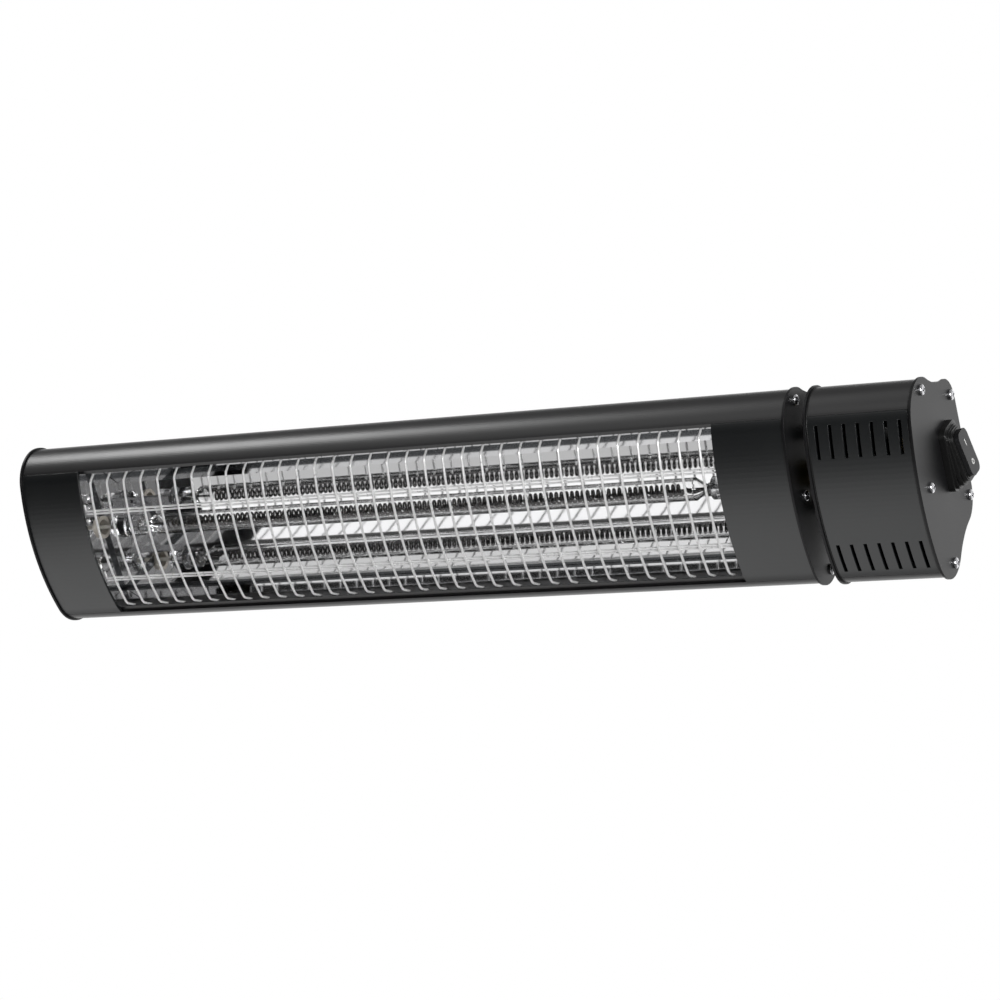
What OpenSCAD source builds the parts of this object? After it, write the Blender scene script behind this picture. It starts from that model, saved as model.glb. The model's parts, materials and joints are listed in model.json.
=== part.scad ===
/* [Housing section] */
// Height of the housing section, from bead crest to bead crest
housing_h = 127.5; // [124:0.5:132]
// Depth of the housing, from its back face to the bulge of its front
housing_d = 89; // [87:0.5:92]
// Radius of the curved front
front_radius = 156; // [150:1:165]
// Radius of the rounded beads along the top and bottom
bead_radius = 24; // [23:0.5:25]
// Radius of the two back corners
corner_radius = 17.5; // [16.5:0.5:18.5]
// Drop from the bead crest to the edge of the flat back wall
back_drop = 35.05; // [34:0.05:36.5]
// Radius of the shallow valley between bead and back corner
valley_radius = 60; // [55:1:80]
// Wall thickness of the extruded housings
wall_t = 2.2; // [1.8:0.1:2.6]
// Drop from the bead crest to the edge of the front opening
mouth_drop = 9.75; // [9.25:0.25:10.75]

/* [Lengths] */
// Length of the lamp housing with its two end plates
lamp_len = 572; // [560:1:620]
// Length of the electrics box with its two end plates
box_len = 68.8; // [66:0.2:80]
// Air gap between the lamp housing and the electrics box
gap_len = 12.2; // [11:0.2:16]
// Distance from the end of the lamp housing to the window between the front panels
window_end_in = 48.5; // [47:0.5:51]

/* [Plates and panels] */
// Thickness of the four end plates
plate_t = 1.5; // [1.2:0.1:2]
// How far an end plate stands out past the housing section
plate_lip = 1.25; // [0.8:0.05:1.5]
// Thickness of the two rubber gaskets of the electrics box
gasket_t = 1; // [0.8:0.1:1.4]
// Thickness of the curved front panels
panel_t = 2; // [1.6:0.1:2.2]
// Number of vent slots in each of the two rows
vent_count = 7; // [3:1:7]
// Distance between neighbouring vent slots
vent_pitch = 8.85; // [7:0.05:9]
// Width of a vent slot
vent_w = 2.2; // [1.6:0.1:3]
// Length of a vent slot
vent_h = 20.3; // [14:0.1:24]
// Drop from the edge of the front opening to the tip of a vent slot
vent_drop = 5.2; // [4:0.1:8]

/* [Guard] */
// Number of upright guard wires
wire_count = 34; // [8:1:34]
// Distance from the end of the window to the first upright wire
wire_end_in = 9.14; // [8.2:0.02:20]
// Diameter of an upright guard wire
wire_d = 1.6; // [1.2:0.1:1.8]
// Diameter of a cross wire
rail_d = 1.4; // [1:0.1:1.6]
// Distance between the two cross wires of a pair
rail_spacing = 2; // [1.8:0.1:3]
// Distance between the upper and the lower pair of cross wires
rail_pair_h = 50.8; // [30:0.2:60]
// Drop from the edge of the front opening to the knee of an upright wire
knee_drop = 9.7; // [9:0.1:12]
// Slope of the wire ends behind the knee
tail_angle = 31; // [29:1:36]

/* [Lamp and reflector] */
// Outer diameter of the quartz tube
tube_d = 15; // [12:0.5:16]
// Wall thickness of the quartz tube
tube_wall = 1.3; // [1:0.1:1.6]
// Distance from the end of the lamp housing to the full round stretch of the quartz tube
tube_end_in = 81; // [80:0.5:90]
// Distance of the lamp axis from the back face of the housing
lamp_in = 50.5; // [48:0.5:53]
// Outer diameter of the heating coil
coil_d = 8.2; // [6:0.1:9]
// Diameter of the heating wire
coil_wire_d = 1.2; // [0.8:0.1:1.4]
// Distance from the end of the full round stretch of the tube to the wound stretch of the coil
coil_end_in = 9; // [7.5:0.5:20]
// Number of turns of the heating coil
coil_turns = 88; // [40:1:88]
// Thickness of the reflector sheet
sheet_t = 0.8; // [0.6:0.1:1]
// Length of the ceramic lamp caps
cap_len = 22.5; // [20:0.5:26]

/* [Switch] */
// Width of the switch boot across the end plate
boot_w = 24.5; // [23:0.5:28]
// Height of the switch boot
boot_h = 42; // [40:0.5:46]
// Width of the rocker cap
rocker_w = 16.6; // [15:0.2:18]
// Height of the rocker cap
rocker_h = 29; // [27:0.5:31]
// Tilt of the rocker to either side of the middle
rocker_tilt = 11; // [8:0.5:12]
// Distance of the switch axis from the back face of the housing
switch_in = 29.75; // [28:0.25:34]

/* [Fasteners and entries] */
// Shank diameter of the plate screws
screw_d = 3.2; // [2.6:0.1:3.4]
// Head diameter of the plate screws
screw_head_d = 7; // [6:0.1:7.6]
// Bore of the two threaded mounting inserts
insert_bore = 6; // [5:0.5:6.5]
// Distance between the two mounting inserts
insert_spacing = 300; // [200:5:400]
// Bore of the cable gland
gland_bore = 8.5; // [6:0.1:9]

/* [Hidden] */

$fn = 64;

// Largest distance of an outline from its true arc
arc_sag = 0.01;

// General clearances
fit_gap = 0.1;
seat_gap = 0.2;
part_gap = 0.3;
overrun = 1;

// Heights of the section, all measured from the bead crests
back_flat_h = housing_h - 2 * back_drop;
mouth_h = housing_h - 2 * mouth_drop;
knee_h = mouth_h - 2 * knee_drop;

// Section: centres of the arcs that make the outline, each as [y, z]
front_cy = front_radius - housing_d;
bead_cz = housing_h / 2 - bead_radius;
bead_cy = front_cy - sqrt(pow(front_radius - bead_radius, 2) - pow(bead_cz, 2));
corner_cy = -corner_radius;
corner_cz = back_flat_h / 2;
bead_c = [bead_cy, bead_cz];
corner_c = [corner_cy, corner_cz];

// Centre of the valley arc, which touches the bead and the back corner from outside
span = norm(corner_c - bead_c);
bead_reach = bead_radius + valley_radius;
corner_reach = corner_radius + valley_radius;
along = (pow(bead_reach, 2) - pow(corner_reach, 2) + pow(span, 2)) / (2 * span);
across = sqrt(pow(bead_reach, 2) - pow(along, 2));
span_dir = (corner_c - bead_c) / span;
span_side = [-span_dir[1], span_dir[0]];
valley_c = bead_c + along * span_dir + across * span_side;
bead_to_valley = (valley_c - bead_c) / bead_reach;
corner_to_valley = (valley_c - corner_c) / corner_reach;
front_to_bead = (bead_c - [front_cy, 0]) / (front_radius - bead_radius);

// Places along the length
lamp_half = lamp_len / 2;
lamp_inner = lamp_half - plate_t;
box_start = lamp_half + gap_len;
box_end = box_start + box_len;
box_skin_start = box_start + plate_t + gasket_t;
box_skin_end = box_end - plate_t - gasket_t;
window_len = lamp_len - 2 * window_end_in;
window_half = window_len / 2;
wire_pitch = (window_len - 2 * wire_end_in) / (wire_count - 1);
vent_band_h = mouth_h - 2 * (vent_drop + vent_h);
mouth_half = mouth_h / 2;

// Screw places on every end plate, each as [y, z]
bead_screw_drop = 6.3;
bead_screw_back = 2.1;
corner_screw_in = 6.65;
corner_screw_rise = 5.2;
front_screw_in = 16.75;
bead_screw = [bead_cy + bead_screw_back, housing_h / 2 - bead_screw_drop];
corner_screw = [-corner_screw_in, corner_cz + corner_screw_rise];
front_screw = [front_screw_in - housing_d, 0];
boss_r = 4.2;
boss_bore_r = screw_d / 2 + fit_gap;
screw_len = 10;
screw_head_h = 2.3;
boss_slot_w = 1.2;

// Front web of each bead, which closes the bead and carries the reflector
web_t = 2;
web_drop = 1.2;
web_in = mouth_half - web_drop - web_t;
web_front_y = bead_front_y(mouth_half, bead_radius - panel_t) + part_gap;
web_back_y = bead_screw[0] + web_t;

// Lengths of the lamp, from its middle outwards
tube_len = lamp_len - 2 * tube_end_in;
coil_len = tube_len - 2 * coil_end_in;
cone_len = 8;
neck_r = 2.6;
blade_w = 11;
blade_t = 3;
blade_len = 12;
cap_set = 4.5;
blade_start = tube_len / 2 + cone_len;
blade_end = blade_start + blade_len;
cap_start = blade_start + cap_set;
cap_end = cap_start + cap_len;

// Reflector trough: mirror side of the half profile, each as [y, z]
trough_lip_in = 23.5;
trough_bend_in = 43.8;
trough_in = 17.25;
trough_edge_in = 9.2;
trough_lip_y = trough_lip_in - housing_d;
trough_bend_y = trough_bend_in - housing_d;
trough_flat_h = back_flat_h - 2 * trough_edge_in;
ridge_h = 2;
trough_z = web_in - fit_gap - sheet_t;
trough = [
    [trough_lip_y, trough_z],
    [trough_bend_y, trough_z],
    [-trough_in, trough_flat_h / 2],
    [-trough_in - ridge_h, 0]
];
mirror_room = 13;
mirror_end_x = cap_end + mirror_room;
tab_len = 8;
tab_w = 7;
reflector_half = mirror_end_x + tab_len + overrun;
rivet_r = 1.6;
rivet_head_r = 2.8;
rivet_head_h = 1;
rivet_tail_r = 2.2;
rivet_x = mirror_end_x + tab_len - tab_w / 2;
rivet_y = trough_lip_y + tab_w / 2;
tab_z = trough_z - fit_gap;

// Guard wire: the arc of its upright stretch and the bend at each knee
guard_set_in = 0.4;
guard_r = front_radius - wire_d / 2 - guard_set_in;
knee_r = 5;
knee_z = knee_h / 2;
knee_slope = asin(knee_z / guard_r);
knee_c = [front_cy - (guard_r - knee_r) * cos(knee_slope), (guard_r - knee_r) * sin(knee_slope)];
tail_dir = [cos(tail_angle), sin(tail_angle)];
tail_start = knee_c + knee_r * [-sin(tail_angle), cos(tail_angle)];
tail_past = 0.5;
tail_len = (mouth_half + tail_past - tail_start[1]) / tail_dir[1];
wire_hole_r = wire_d / 2 + seat_gap;
wire_steps = 8;
knee_steps = 3;
lead_sides = 10;
bend_steps = 4;
bend_share = 0.45;
wire_sides = 6;
rail_gap = 0.02;
rail_r = guard_r - wire_d / 2 - rail_d / 2 - rail_gap;
rail_hook_h = 5;
rail_half = window_half - rail_d;

// Lamp
lamp_y = -lamp_in;
tube_r = tube_d / 2;
cone_end = blade_start - tube_wall - fit_gap;
cap_r = tube_r;
clip_bore_r = cap_r + fit_gap;
clip_wall = 1;
clip_len = 5;
clip_w = 9;
clip_start = cap_end - cap_len / 2;
bush_flange_r = 8;
clip_arm_y = lamp_y + bush_flange_r + part_gap;
clip_foot_len = 12;
clip_rivet_y = clip_arm_y + clip_foot_len - clip_w / 2;
bush_flange_t = 2;
bush_r = 6.6;
bush_bore_r = 5.4;
bush_len = 4;

// Heating coil: helix with a straight lead along the axis at each end
coil_r = (coil_d - coil_wire_d) / 2;
coil_rings = 8;
coil_sides = 6;
lead_rings = 3;
lead_run = 2 * coil_wire_d;
coil_end = cone_end;

// Conduit and standoffs between the two housings
conduit_y = -36.5;
conduit_r = 7;
conduit_bore_r = 5;
conduit_shoulder_r = 9;
conduit_reach = 8;
conduit_nut_r = 11.5;
conduit_nut_t = 4;
standoff_y = -30;
standoff_z = 25;
standoff_r = 5;
standoff_bolt_r = 2;
standoff_head_r = 3.5;
standoff_head_h = 2.6;
standoff_nut_r = 4;
standoff_nut_t = 3.2;

// Cable gland on the back wall of the electrics box
gland_from_end = 20;
gland_x = box_skin_start + gland_from_end;
gland_z = 13;
gland_thread_r = 8;
gland_hex_r = 11.5;
gland_hex_t = 4;
gland_cap_r = 10.4;
gland_cap_len = 13;
gland_nose_len = 5;
gland_thread_len = 8;
gland_seal_wall = 2;

// Terminal block on the back wall of the electrics box
block_w = 30;
block_h = 18;
block_d = 14;
block_x = gland_x;
block_z = -15;
block_y = -wall_t - fit_gap;
block_poles = 3;
pole_pitch = 9;
pole_screw_r = 1.7;
pole_screw_h = 3;
pole_row_z = 4.6;
block_screw_r = 1.3;

// Earth screw on the inner plate of the electrics box
earth_y = -62;
earth_z = -25;
earth_r = 2;
earth_head_r = 3.6;
earth_head_h = 2.4;
earth_len = 9;
earth_nut_r = 4;
earth_nut_t = 3;

// Threaded mounting inserts on the back wall of the lamp housing
insert_r = 4.5;
insert_flange_r = 6.5;
insert_flange_t = 0.8;
insert_len = 13;
insert_crimp_r = 6;
insert_crimp_len = 3.4;

// Insulated leads
lead_r = 1.5;
lead_bore = 5.5;
lead_wall_z = -16;
lead_pair_z = 2.2;
lead_step = 8;
lead_entry = 3.5;
lead_bend = 3.4;
lead_sink_z = -33;

// Switch: its axis lies on the end plate at [switch_y, switch_z]
switch_y = -switch_in;
switch_z = 2.6;
pivot_out = 3;
pivot_x = box_end + pivot_out;
cap_out = 13.6;
cap_lift = cap_out - pivot_out;
rocker_t = 3;
rocker_corner_r = 5;
stem_w = 8;
stem_h = 14;
pin_r = 1.5;
pin_gap = 0.05;
ear_t = 2;
ear_r = 3;
flange_w = 21;
flange_h = 37;
flange_t = 1.6;
body_w = 19;
body_h = 33;
body_d = 20;
body_wall = 1.6;
lever_in = 11;
lever_t = 1;
lever_w = 6;
lever_h = 18;
lever_pin_r = 1;
lever_share = 0.8;
plunger_r = 1.3;
plunger_gap = 0.8;
plunger_len = lever_in + pivot_out - lever_t / 2 - plunger_gap - plunger_r;
boot_corner_r = 6;
boot_base_t = 4;
boot_folds = 3;
fold_t = 2.6;
fold_shrink_w = 1.4;
fold_shrink_h = 2.6;
fold_neck = 1.2;
boot_wall = 1.6;
mark_t = 0.4;
mark_proud = 0.1;
bar_w = 0.9;
bar_h = 4.4;
ring_r = 1.9;
mark_z = 6.6;
blade_out = 8;
blade_tag_w = 6.3;
blade_tag_t = 0.8;
tag_row_z = 10;
tag_row_y = 4.5;

// Front of the front arc of radius r at height z
function front_y(z, r) = front_cy - sqrt(pow(r, 2) - pow(z, 2));

// Front of the bead arc of radius r at height z
function bead_front_y(z, r) = bead_cy - sqrt(pow(r, 2) - pow(z - bead_cz, 2));

// Lays a flat [y, z] section out along the length from x0 to x1
module along_x(x0, x1) {
    translate([x0, 0, 0])
        rotate([90, 0, 90])
            linear_extrude(x1 - x0)
                children();
}

// Round bar or bore along X
module rod_x(x0, x1, y, z, r) {
    translate([x0, y, z])
        rotate([0, 90, 0])
            cylinder(h = x1 - x0, r = r);
}

// Hexagon nut along X
module hex_x(x0, x1, y, z, r) {
    translate([x0, y, z])
        rotate([0, 90, 0])
            cylinder(h = x1 - x0, r = r, $fn = 6);
}

// Both halves of something drawn above the middle plane
module both_z() {
    children();
    mirror([0, 0, 1]) children();
}

// Both ends of something drawn at the right-hand end
module both_x() {
    children();
    mirror([1, 0, 0]) children();
}

// Direction of a flat vector, and points along an arc after its first one
function heading(v) = atan2(v[1], v[0]);
function arc_points(c, r, a0, a1) = let (
        n = ceil(abs(a1 - a0) / (2 * acos(1 - arc_sag / r)))
    ) [for (i = [1:n]) c + r * [cos(a0 + (a1 - a0) * i / n), sin(a0 + (a1 - a0) * i / n)]];

// Upper half of the outline grown by g: front, bead, valley and back corner
function half_outline(g) = concat(
    arc_points([front_cy, 0], front_radius + g, 180, heading(front_to_bead)),
    arc_points(bead_c, bead_radius + g, heading(front_to_bead), heading(bead_to_valley)),
    arc_points(valley_c, valley_radius - g, heading(-bead_to_valley), heading(-corner_to_valley)),
    arc_points(corner_c, corner_radius + g, heading(corner_to_valley), 0)
);

// Whole outline of the section grown by g
module full_outline(g) {
    half = half_outline(g);
    polygon(concat(
        [[front_cy - front_radius - g, 0]],
        half,
        [for (i = [len(half) - 1:-1:0]) [half[i][0], -half[i][1]]]
    ));
}

// Places of the five plate screws, as [y, z]
function screw_places() = [
    bead_screw, [bead_screw[0], -bead_screw[1]],
    corner_screw, [corner_screw[0], -corner_screw[1]],
    front_screw
];

// Open-sided screw channel of the extrusions
module boss_2d(p, slot_angle) {
    difference() {
        translate(p) circle(r = boss_r);
        boss_bore_2d(p, slot_angle);
    }
}

module boss_bore_2d(p, slot_angle) {
    translate(p) {
        circle(r = boss_bore_r);
        rotate(slot_angle)
            translate([0, -boss_slot_w / 2])
                square([boss_r + overrun, boss_slot_w]);
    }
}
bead_slot_angle = 20;
corner_slot_angle = 200;

// Front web of the upper bead, its heel to the skin and its rib to the screw channel
module bead_frame_2d() {
    difference() {
        union() {
            translate([web_front_y, web_in]) square([web_back_y - web_front_y, web_t]);
            translate([web_front_y, web_in]) square([web_t, web_t + web_drop + wall_t]);
            translate([bead_screw[0] - web_t / 2, web_in])
                square([web_t, housing_h / 2 - wall_t / 2 - web_in]);
            translate(bead_screw) circle(r = boss_r);
        }
        boss_bore_2d(bead_screw, bead_slot_angle);
    }
}

// Both extruded housings: the skin, the bead frames and the corner screw channels
module housing(x0, x1) {
    along_x(x0, x1)
        difference() {
            full_outline(0);
            full_outline(-wall_t);
            translate([-housing_d - bead_radius, -mouth_half])
                square([housing_d + bead_radius + bead_cy, mouth_h]);
        }
    both_z() {
        along_x(x0, x1) bead_frame_2d();
        along_x(x0, x1) boss_2d(corner_screw, corner_slot_angle);
    }
}

// Curved panel of the front with its screw boss
module front_panel(x0, x1, boss_x0, boss_x1) {
    edge = mouth_half - seat_gap;
    along_x(x0, x1)
        difference() {
            full_outline(0);
            full_outline(-panel_t);
            for (s = [-1, 1])
                translate([-housing_d - overrun, s * (edge + housing_h / 2) - housing_h / 2])
                    square([housing_d + 2 * overrun, housing_h]);
            translate([bead_cy, -housing_h / 2]) square([housing_d, housing_h]);
        }
    along_x(boss_x0, boss_x1)
        difference() {
            union() {
                translate(front_screw) circle(r = boss_r);
                front_rib_2d(panel_t / 2, panel_t);
            }
            translate(front_screw) circle(r = boss_bore_r);
        }
}

// Rib of width w from the front panel to the front screw boss
module front_rib_2d(inset, w) {
    translate([-housing_d + inset, -w / 2]) square([front_screw_in - inset, w]);
}

// End plate with its five screw holes
module plate(x0, x1) {
    difference() {
        along_x(x0, x1) full_outline(plate_lip);
        for (p = screw_places())
            rod_x(x0 - overrun, x1 + overrun, p[0], p[1], screw_d / 2 + part_gap);
    }
}

// Pan-head screw whose head seats at x = 0 and points along +X
module pan_screw() {
    head_r = screw_head_d / 2;
    dome = [
        for (a = [0:15:90])
            [
                head_r * (crown_share + (1 - crown_share) * cos(a)),
                screw_head_h * (rim_share + (1 - rim_share) * sin(a))
            ]
    ];
    difference() {
        union() {
            rotate([0, 90, 0])
                rotate_extrude()
                    polygon(concat([[0, 0], [head_r, 0]], dome, [[0, screw_head_h]]));
            rod_x(-screw_len, fit_gap, 0, 0, screw_d / 2);
        }
        for (a = [0, 90])
            rotate([a, 0, 0])
                translate([screw_head_h * recess_share, -screw_head_d * cross_share / 2, -cross_w / 2])
                    cube([screw_head_h, screw_head_d * cross_share, cross_w]);
    }
}
rim_share = 0.4;
crown_share = 0.5;
recess_share = 0.42;
cross_share = 0.58;
cross_w = 1;

// Five screws on the plate face at x, heads towards +X or -X
module plate_screws(x, side) {
    for (p = screw_places())
        translate([x, p[0], p[1]])
            mirror([side < 0 ? 1 : 0, 0, 0])
                pan_screw();
}

module lamp_housing() {
    color([0.12, 0.12, 0.13])
        difference() {
            housing(-lamp_inner, lamp_inner);
            both_z() wire_holes();
            both_x() both_z() rivet_hole();
            for (x = [-insert_spacing / 2, insert_spacing / 2])
                translate([x, overrun, 0])
                    rotate([90, 0, 0])
                        cylinder(h = wall_t + 2 * overrun, r = insert_r + fit_gap);
        }
}

// Slanted holes in the upper web for the ends of the guard wires
module wire_holes() {
    for (i = [0:wire_count - 1])
        translate([wire_x(i), tail_start[0], tail_start[1]])
            rotate([tail_angle - 90, 0, 0])
                cylinder(h = tail_len + overrun, r = wire_hole_r);
}

function wire_x(i) = (i - (wire_count - 1) / 2) * wire_pitch;

// Hole for a reflector rivet in the upper web, right-hand end
module rivet_hole() {
    translate([rivet_x, rivet_y, web_in - overrun])
        cylinder(h = web_t + web_drop + overrun, r = rivet_r + fit_gap);
}

module electrics_housing() {
    color([0.12, 0.12, 0.13])
        difference() {
            housing(box_skin_start, box_skin_end);
            translate([gland_x, overrun, gland_z])
                rotate([90, 0, 0])
                    cylinder(h = wall_t + 2 * overrun, r = gland_thread_r + fit_gap);
            for (s = [-1, 1])
                translate([block_x + s * block_w * block_hole_share, overrun, block_z])
                    rotate([90, 0, 0])
                        cylinder(h = wall_t + 2 * overrun, r = block_screw_r + fit_gap);
        }
}
block_hole_share = 0.42;

module front_panel_left() {
    color([0.2, 0.21, 0.22])
        front_panel(-lamp_inner + fit_gap, -window_half,
            -lamp_inner + fit_gap, -lamp_inner + panel_boss_len);
}

module front_panel_right() {
    color([0.2, 0.21, 0.22])
        front_panel(window_half, lamp_inner - fit_gap,
            lamp_inner - panel_boss_len, lamp_inner - fit_gap);
}
panel_boss_len = 28;

// Left edge of a vent slot
vent_middle = (box_skin_start + box_skin_end) / 2;
function vent_x(i) = vent_middle + (i - (vent_count - 1) / 2) * vent_pitch - vent_w / 2;

module vent_panel() {
    color([0.2, 0.21, 0.22])
        difference() {
            front_panel(box_skin_start + fit_gap, box_skin_end - fit_gap,
                box_skin_start + fit_gap, box_skin_end - fit_gap);
            both_z()
                for (i = [0:vent_count - 1])
                    translate([vent_x(i), -housing_d - overrun, vent_band_h / 2])
                        cube([vent_w, front_screw_in, vent_h]);
        }
}

module end_plate_left() {
    color([0.24, 0.24, 0.25]) plate(-lamp_half, -lamp_inner);
}

module lamp_plate_right() {
    color([0.24, 0.24, 0.25])
        difference() {
            plate(lamp_inner, lamp_half);
            gap_holes(lamp_inner, lamp_half);
        }
}

// Holes for the conduit and the two standoff bolts
module gap_holes(x0, x1) {
    rod_x(x0 - overrun, x1 + overrun, conduit_y, 0, conduit_r + fit_gap);
    both_z() rod_x(x0 - overrun, x1 + overrun, standoff_y, standoff_z, standoff_bolt_r + seat_gap);
}

module box_plate_inner() {
    color([0.24, 0.24, 0.25])
        difference() {
            plate(box_start, box_start + plate_t);
            gap_holes(box_start, box_start + plate_t);
            rod_x(box_start - overrun, box_start + plate_t + overrun, earth_y, earth_z, earth_r + fit_gap);
        }
}

module box_plate_outer() {
    color([0.3, 0.3, 0.31])
        difference() {
            plate(box_end - plate_t, box_end);
            translate([box_end - plate_t - overrun, switch_y, switch_z])
                box_yz(plate_t + 2 * overrun, body_w + 2 * seat_gap, body_h + 2 * seat_gap);
        }
}

// Block that starts at x = 0 and is centred in Y and Z
module box_yz(dx, dy, dz) {
    translate([0, -dy / 2, -dz / 2]) cube([dx, dy, dz]);
}

// Rubber ring between an electrics housing end and its plate
module gasket(x0, x1) {
    color([0.05, 0.05, 0.05])
        difference() {
            along_x(x0, x1) full_outline(gasket_lip);
            along_x(x0 - overrun, x1 + overrun)
                difference() {
                    full_outline(-gasket_w);
                    front_rib_2d(0, 2 * boss_r);
                    for (p = screw_places()) translate(p) circle(r = boss_r);
                }
            for (p = screw_places())
                rod_x(x0 - overrun, x1 + overrun, p[0], p[1], screw_d / 2 + part_gap);
        }
}
gasket_w = 3.4;
gasket_lip = 0.2;

module gasket_inner() { gasket(box_start + plate_t, box_skin_start); }

module gasket_outer() { gasket(box_skin_end, box_end - plate_t); }

module screws_end_left() { color([0.15, 0.15, 0.16]) plate_screws(-lamp_half, -1); }

module screws_lamp_right() { color([0.8, 0.8, 0.82]) plate_screws(lamp_half, 1); }

module screws_box_inner() { color([0.8, 0.8, 0.82]) plate_screws(box_start, -1); }

module screws_box_outer() { color([0.8, 0.8, 0.82]) plate_screws(box_end, 1); }

// Half profile continued to the far half
function far_half(points) = [for (i = [len(points) - 2:-1:0]) [points[i][0], -points[i][1]]];
function mirrored(points) = concat(points, far_half(points));

// Profile moved out by t, square to its straight stretches
function outward(a, b) = let (d = (b - a) / norm(b - a)) [-d[1], d[0]];
function moved_out(points, t) = [
    for (i = [0:len(points) - 1])
        let (
            n = outward(points[max(i - 1, 0)], points[max(i, 1)]),
            m = outward(points[min(i, len(points) - 2)], points[min(i + 1, len(points) - 1)])
        )
        points[i] + t * (n + m) / (1 + n * m)
];

module reflector() {
    inner = mirrored(trough);
    outer = moved_out(inner, sheet_t);
    color([0.85, 0.86, 0.88])
        difference() {
            along_x(-reflector_half, reflector_half)
                polygon(concat(outer, [for (i = [len(inner) - 1:-1:0]) inner[i]]));
            both_x() both_z()
                translate([rivet_x, rivet_y, trough_z - overrun])
                    cylinder(h = sheet_t + 2 * overrun, r = rivet_r + fit_gap);
        }
}

// Flat mirror wall across the trough, right-hand end, with tabs to the webs
module mirror_end() {
    wall = [for (p = trough) [p[0] - seat_gap, max(p[1] - seat_gap, 0)]];
    front = [-housing_d, wall[0][1]];
    difference() {
        union() {
            along_x(mirror_end_x, mirror_end_x + sheet_t)
                intersection() {
                    polygon(mirrored(concat([front], wall)));
                    full_outline(-panel_t - part_gap);
                }
            both_z()
                translate([mirror_end_x, trough_lip_y, tab_z - sheet_t])
                    cube([tab_len, tab_w, sheet_t]);
        }
        rod_x(mirror_end_x - overrun, mirror_end_x + sheet_t + overrun, lamp_y, 0, bush_r + fit_gap);
        rod_x(mirror_end_x - overrun, mirror_end_x + sheet_t + overrun, clip_rivet_y, 0, rivet_r + fit_gap);
        both_z()
            translate([rivet_x, rivet_y, tab_z - sheet_t - overrun])
                cylinder(h = sheet_t + 2 * overrun, r = rivet_r + fit_gap);
    }
}

module reflector_end_left() { color([0.6, 0.61, 0.63]) mirror([1, 0, 0]) mirror_end(); }

module reflector_end_right() { color([0.6, 0.61, 0.63]) mirror_end(); }

// Blind rivets that hold tab, reflector and web together
module reflector_rivets() {
    low = tab_z - sheet_t;
    high = web_in + web_t;
    color([0.7, 0.7, 0.72])
        both_x() both_z()
            translate([rivet_x, rivet_y, 0]) {
                translate([0, 0, low - rivet_head_h]) cylinder(h = rivet_head_h, r = rivet_head_r);
                translate([0, 0, low - fit_gap]) cylinder(h = high + rivet_head_h - low, r = rivet_r);
                translate([0, 0, high]) cylinder(h = rivet_head_h, r = rivet_tail_r);
            }
}

module quartz_tube() {
    color([0.85, 0.9, 0.95, 0.35])
        difference() {
            union() {
                rod_x(-tube_len / 2, tube_len / 2, lamp_y, 0, tube_r);
                both_x() {
                    translate([tube_len / 2, lamp_y, 0])
                        rotate([0, 90, 0])
                            cylinder(h = cone_len, r1 = tube_r, r2 = neck_r);
                    translate([blade_start - tube_wall, lamp_y, 0])
                        box_yz(blade_end - blade_start + tube_wall, blade_w, blade_t);
                }
            }
            rod_x(-tube_len / 2, tube_len / 2, lamp_y, 0, tube_r - tube_wall);
            both_x()
                translate([tube_len / 2 - fit_gap, lamp_y, 0])
                    rotate([0, 90, 0])
                        cylinder(
                            h = cone_end - tube_len / 2 + fit_gap,
                            r1 = tube_r - tube_wall,
                            r2 = neck_r - tube_wall / 2
                        );
        }
}

// Centre line of the heating wire: lead, wound stretch, lead
coil_steps = coil_turns * coil_rings;
function coil_point(i) = [
    -coil_len / 2 + coil_len * i / coil_steps,
    coil_r * cos(360 * i / coil_rings),
    coil_r * sin(360 * i / coil_rings)
];
function lead_in(s, k) = [
    s * (coil_len / 2 + lead_run * (lead_rings + 1 - k)),
    coil_r * k / (lead_rings + 1),
    0
];
coil_path = concat(
    [[-coil_end, 0, 0], [-coil_len / 2 - lead_run * (lead_rings + 2), 0, 0]],
    [for (k = [1:lead_rings]) lead_in(-1, k)],
    [for (i = [0:coil_steps]) coil_point(i)],
    [for (k = [lead_rings:-1:1]) lead_in(1, k)],
    [[coil_len / 2 + lead_run * (lead_rings + 2), 0, 0], [coil_end, 0, 0]]
);

// Ring of corners round point i of a path, square to the path there
function unit(v) = v / norm(v);
function path_dir(path, i) = unit(path[min(i + 1, len(path) - 1)] - path[max(i - 1, 0)]);
function ring(path, i, r, sides, across) = let (
        t = path_dir(path, i),
        out = unit(cross(t, across)),
        side = cross(t, out)
    ) [for (k = [0:sides - 1]) path[i] + r * (out * cos(360 * k / sides) + side * sin(360 * k / sides))];

// Direction across the wire at path point i, which turns with the winding
function coil_turn(i) = 360 * max(0, min(i - lead_rings - 2, coil_steps)) / coil_rings;
coil_across = [for (i = [0:len(coil_path) - 1]) [0, sin(coil_turn(i)), -cos(coil_turn(i))]];

// Closed round tube of radius r along a path, with one ring of corners at each point
module tube(path, r, sides, across) {
    n = len(path);
    points = [for (i = [0:n - 1]) each ring(path, i, r, sides, across[i])];
    walls = [
        for (i = [0:n - 2], k = [0:sides - 1])
            let (
                a = i * sides + k,
                b = i * sides + (k + 1) % sides
            )
            each [[a, b, b + sides], [a, b + sides, a + sides]]
    ];
    ends = [
        for (k = [1:sides - 2])
            each [[0, k + 1, k], [(n - 1) * sides, (n - 1) * sides + k, (n - 1) * sides + k + 1]]
    ];
    polyhedron(points = points, faces = concat(walls, ends), convexity = 10);
}

module heating_coil() {
    color([0.16, 0.15, 0.15])
        translate([0, lamp_y, 0])
            tube(coil_path, coil_wire_d / 2, coil_sides, coil_across);
}

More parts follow.
